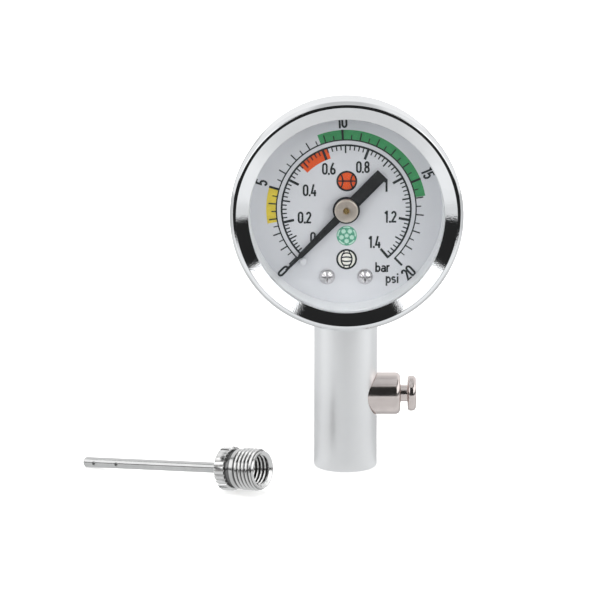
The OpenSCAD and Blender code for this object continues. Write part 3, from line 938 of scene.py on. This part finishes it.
def holed_wall(shape, radius, rows_z, hole_z, half, rings, around=AROUND):
    """Adds a round wall with a side hole towards +X.

    rings are (hole radius, x of the ring or None for the wall's own surface); rows_z are the wall's
    heights, where a height may be a function of the angle.
    """
    step = TAU / around
    columns = int(half / (radius * step))
    inside = [i for i, z in enumerate(rows_z) if not callable(z) and abs(z - hole_z) <= half + 1e-6]
    low, high = inside[0], inside[-1]
    signed = [j if j <= around // 2 else j - around for j in range(around)]
    index = {}
    for i, z in enumerate(rows_z):
        for j in range(around):
            if low < i < high and abs(signed[j]) < columns:
                continue
            a = step * j
            index[i, j] = len(shape.verts)
            height = z(a) if callable(z) else z
            shape.verts.append((radius * math.cos(a), radius * math.sin(a), height))
    for i in range(len(rows_z) - 1):
        for j in range(around):
            n = (j + 1) % around
            corners = [(i, j), (i, n), (i + 1, n), (i + 1, j)]
            if low <= i < high and -columns <= signed[j] < columns:
                continue
            shape.faces.append(tuple(index[c] for c in corners))
    loop = [(low, c) for c in range(-columns, columns)]
    loop += [(i, columns) for i in range(low, high)]
    loop += [(high, c) for c in range(columns, -columns, -1)]
    loop += [(i, -columns) for i in range(high, low, -1)]
    previous = [index[i, c % around] for i, c in loop]
    flat = [(radius * step * c, rows_z[i] - hole_z) for i, c in loop]
    first_r = rings[0][0]
    blend_steps = 5
    for k in range(1, blend_steps + 1):
        t = k / blend_steps
        current = []
        for s, dz in flat:
            a = math.atan2(s, dz)
            edge_s = radius * math.asin(first_r * math.sin(a) / radius)
            edge_z = first_r * math.cos(a)
            u = s + (edge_s - s) * t
            w = dz + (edge_z - dz) * t
            theta = u / radius
            current.append(len(shape.verts))
            shape.verts.append((radius * math.cos(theta), radius * math.sin(theta), hole_z + w))
        stitch(shape, previous, current)
        previous = current
    for ring_r, ring_x in rings[1:]:
        current = []
        for s, dz in flat:
            a = math.atan2(s, dz)
            y = ring_r * math.sin(a)
            x = ring_x(y) if callable(ring_x) else ring_x
            current.append(len(shape.verts))
            shape.verts.append((x, y, hole_z + ring_r * math.cos(a)))
        stitch(shape, previous, current)
        previous = current
    return previous


def patch_heights(middle, half, steps):
    """Even heights across the patch of wall that holds a side hole."""
    return [middle - half + 2 * half * i / steps for i in range(steps + 1)]


def stitch(shape, a, b):
    """Joins two rings of the same number of vertices with faces."""
    n = len(a)
    shape.faces += [(a[i], a[(i + 1) % n], b[(i + 1) % n], b[i]) for i in range(n)]


def thread_height(turns):
    """How far a 60-degree thread stands at this part of its pitch, from 0 to 1."""
    t = turns % 1.0
    rise = 1 - abs(2 * t - 1)
    return min(1.0, max(0.0, (rise - 0.1) / 0.75))


def threaded(base_r, depth, z0, z1, pitch, fade0, fade1, step=18):
    """Rows of a helical thread between two heights; it grows and dies out over the fades."""
    rows = []
    count = int(round((z1 - z0) / pitch * step))
    for i in range(count + 1):
        z = z0 + (z1 - z0) * i / count
        grow = min(1.0, (z - z0) / fade0 if fade0 else 1.0, (z1 - z) / fade1 if fade1 else 1.0)

        def row(angle, z=z, grow=max(0.0, grow)):
            return base_r + depth * grow * thread_height(z / pitch - angle / TAU), z

        rows.append(row)
    return rows


VALVE_R = (valve_high.z - valve_low.z) / 2 / MM
HOLE_R = VALVE_R + 0.22
RIM_R = VALVE_R + 0.32
PITCH = 0.794
CASE_Z = DIAL_Z / MM
ROUND = 0.5
STEM_R = 3.5
STEM_FLOOR = 19.5
AIR_R = 2.5
SEAL_R = SOCKET_R + 0.6
SEAL_TOP = SOCKET_DEPTH + 1
HOLE_FLOOR_X = 3.7


def saddle(r):
    """The height of the case's underside over a circle about the barrel's axis."""

    def height(angle):
        behind = max(0.0, r * math.sin(angle))
        case_r = FLAT_R + math.sqrt(CASE_ROUND**2 - behind**2)
        return CASE_Z - math.sqrt(case_r**2 - (r * math.cos(angle)) ** 2)

    return height


barrel = Shape()
valve_height = VALVE_Z / MM
patch_half = RIM_R + 0.9
wall_rows = [ROUND, 2.0, 4.0, 6.0, valve_height - patch_half - 1.0]
wall_rows += patch_heights(valve_height, patch_half, 28)
wall_rows += [21.0, 23.0, 25.0, 27.0]


def surface_x(y):
    """Just under the barrel's surface at this sideways distance, for the hole's chamfer."""
    return math.sqrt(BARREL_R**2 - y * y) - 0.25


top = saddle(BARREL_R)
wall_rows.append(top)
hole_edge = holed_wall(
    barrel,
    BARREL_R,
    wall_rows,
    valve_height,
    patch_half,
    [(RIM_R, None), (HOLE_R, surface_x), (HOLE_R, HOLE_FLOOR_X), (0.5, HOLE_FLOOR_X)],
)
barrel.faces.append(tuple(reversed(hole_edge)))
stem_top = saddle(STEM_R)
inner_rows = [lambda a: (BARREL_R, top(a)), lambda a: (STEM_R, stem_top(a))]
inner_rows += [(STEM_R, STEM_FLOOR), (AIR_R, STEM_FLOOR), (AIR_R, SEAL_TOP)]
inner_rows += [(SEAL_R, SEAL_TOP), (SEAL_R, SOCKET_DEPTH)]
inner_rows += list(reversed(threaded(SOCKET_R, 0.42, 0.55, SOCKET_DEPTH - 0.2, PITCH, 0.3, 0.6)))
inner_rows += [(SOCKET_R + 0.05, 0.5), (SOCKET_R + 0.5, 0.02), (SOCKET_R + 0.56, 0.0)]
inner_rows += [
    (BARREL_R - ROUND + ROUND * math.sin(t), ROUND - ROUND * math.cos(t))
    for t in (math.radians(90 * k / 8) for k in range(9))
]
spin(barrel, inner_rows, AROUND, False)
piece(
    "barrel_satin", barrel, UPRIGHT, "gauge", "chrome_satin", ["barrel"], sharp=40
)

# ---------------------------------------------------------------- bleed valve

SEAT_X = valve_low.x / MM
FACE_X = valve_high.x / MM
GUIDE_R = 1.65
housing = lathe(
    [
        (VALVE_R, SEAT_X, 0.0),
        (VALVE_R, FACE_X, 0.9),
        (GUIDE_R + 0.15, FACE_X, 0.1),
        (GUIDE_R, FACE_X - 0.2, 0.05),
        (GUIDE_R, SEAT_X + 0.9, 0.0),
        (1.1, SEAT_X + 0.9, 0.0),
        (1.1, SEAT_X, 0.0),
    ],
    around=160,
    steps=10,
)
piece(
    "valve_housing_nickel",
    housing,
    VALVE,
    "gauge",
    "nickel_turned",
    ["valve_housing"],
)

button_low, button_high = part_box("valve_button")
HEAD_FRONT = button_high.x / MM
HEAD_R = (button_high.z - button_low.z) / 2 / MM
ROD_END = button_low.x / MM
HEAD_X = HEAD_FRONT - 1.6
SHOULDER_X = 8.4
button = lathe(
    [
        (0.0, ROD_END, 0.0),
        (0.8, ROD_END, 0.1),
        (0.8, SHOULDER_X, 0.05),
        (1.6, SHOULDER_X, 0.1),
        (1.6, HEAD_X, 0.2),
        (HEAD_R, HEAD_X, 0.45),
        (HEAD_R, HEAD_FRONT, 0.75),
        (0.0, HEAD_FRONT, 0.0),
    ],
    around=128,
    steps=10,
    closed=False,
)
piece(
    "valve_button_nickel",
    button,
    VALVE,
    "button",
    "nickel_turned",
    ["valve_button"],
)

# ---------------------------------------------------------------- needle

SHAFT_LEN = 32.0
KNURL_R = 4.1
KNURL_H = 2.4
GROOVE_H = 0.8
NECK_H = 0.9
FLUTES = 28
COLLAR_AROUND = FLUTES * 8
THREAD_DEPTH = 0.45
ROOT_R = THREAD_R - THREAD_DEPTH
knurl_end = SHAFT_LEN + KNURL_H
groove_end = knurl_end + GROOVE_H
thread_start = groove_end + NECK_H
thread_end = thread_start + 5 * PITCH
mouth_z = thread_end + 0.5
mouth_floor = mouth_z - 6.0
# Painted shade on the needle collar: darker past a radius of 2.85 mm inside its mouth, and below a
# radius of 3.8 mm in its outer grooves and thread hollows
INNER_ROOT_SHADE = (2.85, 3.1, 2.6, 3.22, mouth_z - 0.5)
OUTER_ROOT_SHADE = (3.8, 3.5, 3.3, 4.2, thread_end + 0.1)
looks["chrome_needle"] = finish(
    "chrome_needle",
    (0.80, 0.795, 0.79),
    0.17, 1.0, "turned", 16000.0, 9.0, 500.0, 0.04, 0.04, 0.10, 0.003,
    root_shade=(INNER_ROOT_SHADE, OUTER_ROOT_SHADE),
)


def knurl(z, size=1.0):
    """A row of the fluted grip: wide teeth with narrow grooves between them."""

    def row(angle):
        part = (angle / TAU * FLUTES) % 1.0
        groove = max(0.0, 1 - abs(part - 0.5) / 0.24)
        return KNURL_R * size - 0.4 * groove, z

    return row


collar = Shape()
rows = [(1.35, SHAFT_LEN), (3.3, SHAFT_LEN), (3.72, SHAFT_LEN + 0.08)]
rows += [knurl(SHAFT_LEN + 0.22, 0.985), knurl(SHAFT_LEN + 0.35), knurl(knurl_end - 0.25)]
rows += [knurl(knurl_end - 0.1, 0.985), (3.7, knurl_end)]
rows += [(3.42, knurl_end), (3.4, knurl_end + 0.05)]
rows += [(3.4, groove_end - 0.05), (3.42, groove_end)]
rows += [(3.62, groove_end), (3.7, groove_end + 0.1)]
rows += [(3.7, thread_start - 0.1), (3.55, thread_start)]
rows += threaded(ROOT_R, THREAD_DEPTH, thread_start + 0.05, thread_end + 0.15, PITCH, 0.4, 0.3)
rows += [(ROOT_R, thread_end + 0.2), (ROOT_R, mouth_z - 0.05)]
rows += [(3.42, mouth_z), (3.3, mouth_z)]
rows += [(3.24, mouth_z - 0.03), (MOUTH_R + 0.1, mouth_z - 0.44)]
rows += list(reversed(threaded(MOUTH_R, 0.42, mouth_floor + 0.4, mouth_z - 0.5, PITCH, 0.6, 0.25)))
rows += [(MOUTH_R, mouth_floor), (1.35, mouth_floor)]
spin(collar, rows, COLLAR_AROUND, True)
piece(
    "needle_collar_threaded",
    collar,
    NEEDLE,
    "needle",
    "chrome_needle",
    ["needle_collar"],
)

tube = Shape()
TUBE_AROUND = 64
BORE_R = 0.55
TUBE = NEEDLE @ Matrix.Rotation(math.radians(-90), 4, "Z")
VENT_R = 0.35
VENT_HALF = 0.6
TIP_ROUND = 0.6
BETWEEN_VENTS = 5.0
vent_rings = [(VENT_R + 0.05, None), (VENT_R, lambda y: SHAFT_R - 0.12), (VENT_R, 0.5), (0.02, 0.5)]
for vent_z, below, above in (
    (2.8, [TIP_ROUND], [BETWEEN_VENTS]),
    (8.0, [BETWEEN_VENTS], [12.0, 20.0, 26.0, SHAFT_LEN - 0.3]),
):
    heights = below + patch_heights(vent_z, VENT_HALF, 8) + above
    edge = holed_wall(tube, SHAFT_R, heights, vent_z, VENT_HALF, vent_rings, TUBE_AROUND)
    tube.faces.append(tuple(reversed(edge)))
tip_turns = [math.radians(90 * k / 10) for k in range(1, 11)]
tip_rows = [(SHAFT_R * math.sin(t), TIP_ROUND - TIP_ROUND * math.cos(t)) for t in tip_turns]
spin(tube, [(0.0, 0.0)] + tip_rows, TUBE_AROUND, False)
spin(
    tube,
    [
        (SHAFT_R, SHAFT_LEN - 0.3),
        (1.3, SHAFT_LEN),
        (1.3, SHAFT_LEN + 1.4),
        (BORE_R, SHAFT_LEN + 1.4),
        (BORE_R, SHAFT_LEN + 0.4),
        (0.0, SHAFT_LEN + 0.4),
    ],
    TUBE_AROUND,
    False,
)
piece(
    "needle_tube_drawn",
    tube,
    TUBE,
    "needle",
    "steel_shaft",
    ["needle_tube"],
    sharp=40,
)

# ---------------------------------------------------------------- camera

scene = bpy.context.scene
scene.view_settings.view_transform = "Standard"
PITCH_DOWN = math.radians(12)
DISTANCE = 0.7
AIM = Vector((-0.00866, 0.0, 0.0322))
camera = bpy.data.objects.new("camera", bpy.data.cameras.new("camera"))
scene.collection.objects.link(camera)
look = Vector((0, math.cos(PITCH_DOWN), -math.sin(PITCH_DOWN)))
camera.location = AIM - look * DISTANCE
camera.rotation_euler = (math.radians(90) - PITCH_DOWN, 0, 0)
camera.data.lens = 222
camera.data.sensor_width = 36
camera.data.clip_start = 0.01
camera.data.clip_end = 20
scene.camera = camera

# ---------------------------------------------------------------- floor and studio
#
# The camera sees a plain white world. Everything else sees a softbox at each side, a cap overhead
# and a pale wall behind, with darkness between them that gives the bezel its black bands. The area
# lights reach matt surfaces only.

FLOOR_HALF = 3.0
FLOOR_FRONT = -0.195


def floor_material():
    """Pale floor, which polished metal sees as a lit sweep that ends in front of the object."""
    material = bpy.data.materials.new("studio_floor")
    material.use_nodes = True
    g = Graph(material.node_tree)
    out = g.node("ShaderNodeOutputMaterial")
    place = g.node("ShaderNodeNewGeometry").outputs["Position"]
    split = g.node("ShaderNodeSeparateXYZ")
    g.join(place, split.inputs[0])
    x, y, _ = split.outputs
    diffuse = g.node("ShaderNodeBsdfDiffuse")
    diffuse.inputs["Color"].default_value = (0.9, 0.9, 0.895, 1)
    glow = g.node("ShaderNodeEmission")
    glow.inputs["Color"].default_value = (1.0, 0.998, 0.99, 1)
    glow.inputs["Strength"].default_value = 0.45
    plain = g.node("ShaderNodeAddShader")
    g.join(diffuse.outputs[0], plain.inputs[0])
    g.join(glow.outputs[0], plain.inputs[1])
    lit = g.node("ShaderNodeEmission")
    edge = g.ramp(y, FLOOR_FRONT - 0.004, FLOOR_FRONT + 0.004)
    reach = g.distance(x, y)
    turn = g.math("ARCTAN2", g.math("ABSOLUTE", x), g.times(y, -1.0))
    sweep = g.ramp(reach, 0.055, 0.10, 0.70, 0.92)
    for factor in (
        g.ramp(reach, 0.15, 0.2, 1.0, 0.80),
        g.ramp(turn, math.radians(35), math.radians(70), 1.0, 1.08),
        g.ramp(turn, math.radians(88), math.radians(112), 1.0, 0.74),
    ):
        sweep = g.times(sweep, factor)
    g.join(g.math("MULTIPLY_ADD", edge, sweep, 0.02), lit.inputs["Strength"])
    lit.inputs["Color"].default_value = (0.975, 0.99, 1.0, 1)
    g.join(g.by_ray("Is Glossy Ray", plain, lit), out.inputs[0])
    return material


floor_mesh = bpy.data.meshes.new("floor")
floor_signs = ((-1, -1), (1, -1), (1, 1), (-1, 1))
floor_corners = [(x * FLOOR_HALF, y * FLOOR_HALF, 0) for x, y in floor_signs]
floor_mesh.from_pydata(floor_corners, [], [(0, 1, 2, 3)])
floor_mesh.materials.append(floor_material())
floor = bpy.data.objects.new("floor", floor_mesh)
scene.collection.objects.link(floor)

world = bpy.data.worlds.new("studio")
scene.world = world
world.use_nodes = True
g = Graph(world.node_tree)
world_out = g.node("ShaderNodeOutputWorld")
direction = g.node("ShaderNodeTexCoord").outputs["Generated"]
split = g.node("ShaderNodeSeparateXYZ")
g.join(direction, split.inputs[0])
dx, dy, dz = split.outputs
# Degrees above the horizon, and degrees sideways from straight in front of the gauge
to_degrees = 180 / math.pi
height = g.times(g.math("ARCSINE", dz), to_degrees)
sideways = g.math("ARCTAN2", g.math("ABSOLUTE", dx), g.times(dy, -1.0))
sideways = g.times(sideways, to_degrees)
side = g.ramp(sideways, 25.0, 27.0)
behind = g.ramp(sideways, 100.0, 114.0)
box_low = g.ramp(height, 9.0, 11.0)
box_high = g.ramp(height, 45.0, 47.0, 1.0, 0.0)
softbox = g.times(g.times(side, box_low), box_high)
cap_edge = g.math("MULTIPLY_ADD", side, 10.0, 48.0)
cap = g.ramp(g.math("SUBTRACT", height, cap_edge), 0.0, 4.0)
front_light = g.math("MULTIPLY_ADD", softbox, 1.35, 0.02)
front_light = g.math("MULTIPLY_ADD", cap, 0.7, front_light)
back_low = g.ramp(height, 50.0, 60.0, 0.92, 0.6)
back_light = g.times(back_low, g.ramp(height, -13.0, -11.0))
in_front = g.math("SUBTRACT", 1.0, behind)
studio = g.math("ADD", g.times(behind, back_light), g.times(in_front, front_light))
seen = g.node("ShaderNodeBackground")
seen.inputs["Color"].default_value = (1, 1, 0.995, 1)
seen.inputs["Strength"].default_value = 1.0
lighting = g.node("ShaderNodeBackground")
lighting.inputs["Color"].default_value = (0.985, 0.993, 1.0, 1)
g.join(studio, lighting.inputs["Strength"])
g.join(g.by_ray("Is Camera Ray", lighting, seen), world_out.inputs[0])


def softlight(name, location, target, size, power):
    """A square area light that polished metal doesn't mirror."""
    data = bpy.data.lights.new(name, "AREA")
    data.size = size
    data.energy = power
    data.color = (1.0, 0.995, 0.985)
    light = bpy.data.objects.new(name, data)
    scene.collection.objects.link(light)
    light.location = location
    aim = Vector(target) - Vector(location)
    light.rotation_euler = aim.to_track_quat("-Z", "Y").to_euler()
    light.visible_glossy = False
    light.visible_camera = False


softlight("light_left", (-0.6, -1.0, 0.25), (0, 0, 0.04), 0.8, 4.6)
softlight("light_right", (0.6, -1.0, 0.25), (0, 0, 0.04), 0.8, 4.6)
softlight("light_top", (0.0, 0.1, 1.2), (0, 0, 0), 1.2, 14.0)

# ---------------------------------------------------------------- end

bpy.context.view_layer.update()
